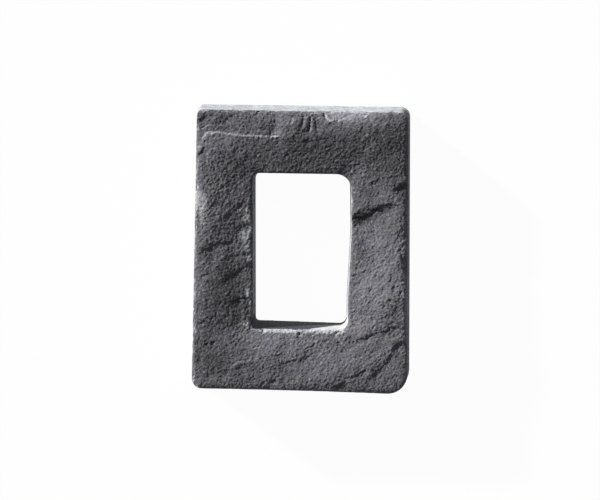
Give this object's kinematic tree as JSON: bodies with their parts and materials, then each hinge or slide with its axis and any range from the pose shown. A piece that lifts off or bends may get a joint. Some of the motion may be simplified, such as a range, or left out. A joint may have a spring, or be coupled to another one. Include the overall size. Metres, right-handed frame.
{
  "type": "stone veneer receptacle block",
  "caption": "Rectangular cast slate-look trim stone with a cleft face and one rectangular opening for a wall socket or switch box.",
  "frame": {"origin": "centre of the rectangle around the flat back, on the back's plane", "axes": "+Z out of the back towards the cleft face, +Y up the wall along the longer side, +X across to the right seen from the face"},
  "size_m": [0.1522, 0.1994, 0.0434],
  "materials": {
    "cast_stone": "matt cleft slate texture, charcoal pigment on the face, bare grey cement on the sides and back"
  },
  "bodies": {
    "root": {"receptacle_block": "cast_stone"}
  },
  "joints": []
}
